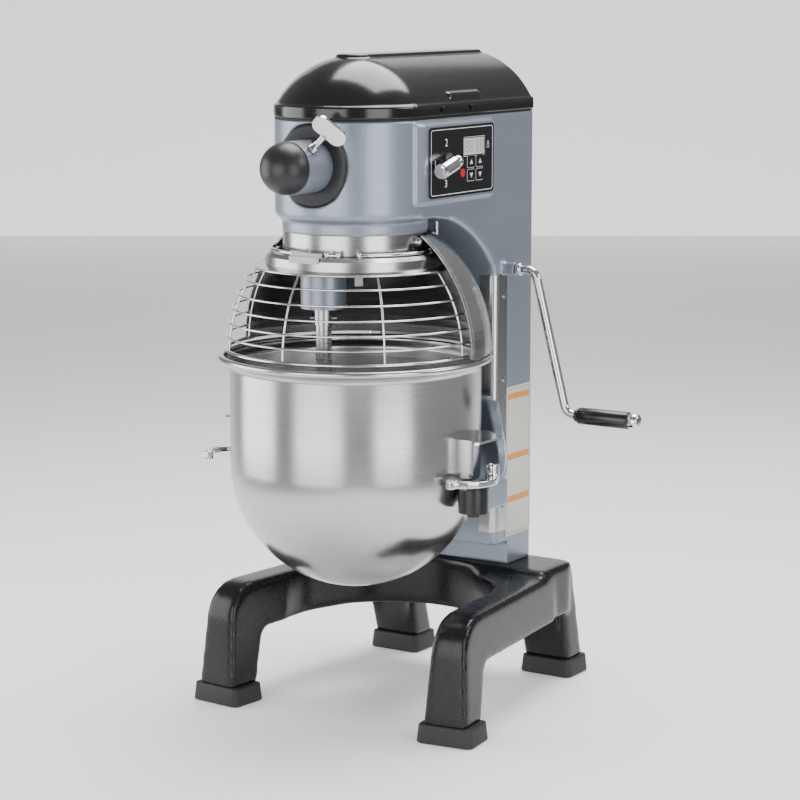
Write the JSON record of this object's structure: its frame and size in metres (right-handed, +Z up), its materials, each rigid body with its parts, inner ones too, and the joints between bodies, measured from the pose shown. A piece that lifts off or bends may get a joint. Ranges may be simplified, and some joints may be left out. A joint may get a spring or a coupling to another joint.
{
  "type": "commercial stand mixer",
  "caption": "Bench planetary mixer: column with drive head, stainless bowl on a crank-lifted yoke, turning wire bowl guard, attachment hub, speed lever and timer panel.",
  "frame": {"origin": "centre of the outline on the floor", "axes": "+Z up; -Y is the front, where the attachment hub and the bowl face; +X is the side with the panel and the crank"},
  "size_m": [0.5166, 0.5105, 0.831],
  "materials": {
    "black_enamel": "semi-gloss, fine texture",
    "grey_enamel": "satin metallic",
    "rubber": "matt",
    "stainless": "brushed and polished",
    "polished": "polished",
    "fastener": "plain",
    "black_plastic": "semi-gloss",
    "pale_plastic": "semi-gloss",
    "red_plastic": "gloss",
    "label_foil": "blank sheet",
    "board": "plain",
    "machined_steel": "machined",
    "cast_iron": "as cast, painted",
    "bronze": "machined"
  },
  "bodies": {
    "frame": {"base_casting": "black_enamel", "foot_pads": "rubber", "base_bolts": "fastener", "column_casting": "grey_enamel", "slideway": "stainless", "casing_screws": "fastener", "rear_cover": "grey_enamel", "cord_gland": "black_plastic", "side_plate": "label_foil", "top_cover": "black_enamel", "cover_gasket": "rubber", "cover_screws": "black_plastic", "panel_plate": "black_plastic", "display_window": "pale_plastic", "control_board": "board", "gear_plate": "machined_steel", "motor_case": "cast_iron", "drive_belt": "rubber", "head_bearing": "machined_steel", "ring_gear": "machined_steel", "hub_flange": "black_plastic", "hub_socket": "grey_enamel", "guard_collar": "stainless", "guard_shield": "stainless", "screw_bearings": "cast_iron"},
    "planetary": {"main_shaft": "machined_steel", "planet_carrier": "grey_enamel", "planet_bearings": "machined_steel", "centre_bolt": "fastener"},
    "agitator": {"planet_gear": "machined_steel", "agitator_shaft": "machined_steel", "drive_pin": "machined_steel"},
    "layshaft_body": {"layshaft": "machined_steel"},
    "rotor": {"motor_rotor": "machined_steel"},
    "hub_drive": {"hub_shaft": "machined_steel"},
    "cap": {"hub_cap": "black_plastic"},
    "thumb_screw": {"hub_screw": "polished"},
    "guard": {"guard_ring": "stainless", "guard_bar": "stainless", "guard_wires": "stainless", "interlock_block": "pale_plastic"},
    "carriage": {"bowl": "stainless", "bowl_handles": "stainless", "yoke": "grey_enamel", "hinge_blocks": "black_plastic", "lift_nut": "bronze"},
    "right_lock": {"lock_lever_right": "polished"},
    "left_lock": {"lock_lever_left": "polished"},
    "screw": {"lift_screw": "machined_steel"},
    "crank": {"crank_rod": "polished", "grip_cap": "polished"},
    "grip": {"crank_grip": "black_plastic"},
    "shifter": {"shift_lever": "polished", "shift_knob": "polished"},
    "button_stop_body": {"button_stop": "red_plastic"},
    "button_minute_up_body": {"button_minute_up": "black_plastic"},
    "button_minute_down_body": {"button_minute_down": "black_plastic"},
    "button_second_up_body": {"button_second_up": "black_plastic"},
    "button_second_down_body": {"button_second_down": "black_plastic"}
  },
  "joints": [
    {"name": "planetary_spin", "type": "hinge", "parent": "frame", "child": "planetary", "pos_m": [-0.0387, -0.0758, 0.6], "axis": [0, 0, 1], "continuous": true},
    {"name": "agitator_spin", "type": "hinge", "parent": "planetary", "child": "agitator", "pos_m": [-0.0607, -0.11391, 0.56], "axis": [0, 0, 1], "continuous": true},
    {"name": "layshaft_spin", "type": "hinge", "parent": "frame", "child": "layshaft_body", "pos_m": [-0.0387, 0.0082, 0.74], "axis": [0, 0, 1], "continuous": true},
    {"name": "motor_spin", "type": "hinge", "parent": "frame", "child": "rotor", "pos_m": [-0.0387, 0.1202, 0.69], "axis": [0, 0, 1], "continuous": true},
    {"name": "hub_spin", "type": "hinge", "parent": "frame", "child": "hub_drive", "pos_m": [-0.0387, -0.1358, 0.7], "axis": [0, -1, 0], "continuous": true},
    {"name": "hub_cap_pull", "type": "slide", "parent": "frame", "child": "cap", "axis": [0, -1, 0], "range_m": [0, 0.05]},
    {"name": "hub_screw_turn", "type": "hinge", "parent": "frame", "child": "thumb_screw", "pos_m": [-0.0387, -0.2038, 0.7], "axis": [0.7314, 0, 0.682], "continuous": true},
    {"name": "guard_turn", "type": "hinge", "parent": "frame", "child": "guard", "pos_m": [-0.0387, -0.0758, 0.58], "axis": [0, 0, 1], "range_deg": [0, 170]},
    {"name": "bowl_lift", "type": "slide", "parent": "frame", "child": "carriage", "axis": [0, 0, -1], "range_m": [0, 0.09]},
    {"name": "lock_right_turn", "type": "hinge", "parent": "carriage", "child": "right_lock", "pos_m": [0.1433, -0.0478, 0.32], "axis": [0, 0, 1], "range_deg": [0, 75]},
    {"name": "lock_left_turn", "type": "hinge", "parent": "carriage", "child": "left_lock", "pos_m": [-0.2207, -0.0478, 0.32], "axis": [0, 0, 1], "range_deg": [-45, 30]},
    {"name": "screw_turn", "type": "hinge", "parent": "frame", "child": "screw", "pos_m": [-0.0387, 0.1202, 0.4], "axis": [0, 0, 1], "range_deg": [0, 4051]},
    {"name": "crank_turn", "type": "hinge", "parent": "frame", "child": "crank", "pos_m": [0.0613, 0.1202, 0.555], "axis": [1, 0, 0], "range_deg": [0, 4051]},
    {"name": "grip_spin", "type": "hinge", "parent": "crank", "child": "grip", "pos_m": [0.2063, 0.1202, 0.373], "axis": [1, 0, 0], "continuous": true},
    {"name": "shift_turn", "type": "hinge", "parent": "frame", "child": "shifter", "pos_m": [0.0713, -0.0338, 0.702], "axis": [1, 0, 0], "range_deg": [-90, 90]},
    {"name": "button_stop_press", "type": "slide", "parent": "frame", "child": "button_stop_body", "axis": [-1, 0, 0], "range_m": [0, 0.0015], "stiffness_N_per_m": 400},
    {"name": "button_minute_up_press", "type": "slide", "parent": "frame", "child": "button_minute_up_body", "axis": [-1, 0, 0], "range_m": [0, 0.0015], "stiffness_N_per_m": 400},
    {"name": "button_minute_down_press", "type": "slide", "parent": "frame", "child": "button_minute_down_body", "axis": [-1, 0, 0], "range_m": [0, 0.0015], "stiffness_N_per_m": 400},
    {"name": "button_second_up_press", "type": "slide", "parent": "frame", "child": "button_second_up_body", "axis": [-1, 0, 0], "range_m": [0, 0.0015], "stiffness_N_per_m": 400},
    {"name": "button_second_down_press", "type": "slide", "parent": "frame", "child": "button_second_down_body", "axis": [-1, 0, 0], "range_m": [0, 0.0015], "stiffness_N_per_m": 400}
  ],
  "couplings": [
    {"joint": "agitator_spin", "follows": "planetary_spin", "ratio": -3},
    {"joint": "layshaft_spin", "follows": "planetary_spin", "ratio": -3.6667},
    {"joint": "motor_spin", "follows": "planetary_spin", "ratio": -9.7778},
    {"joint": "hub_spin", "follows": "planetary_spin", "ratio": 1},
    {"joint": "screw_turn", "follows": "bowl_lift", "rad_per_m": 785.4},
    {"joint": "crank_turn", "follows": "bowl_lift", "rad_per_m": 785.4}
  ]
}
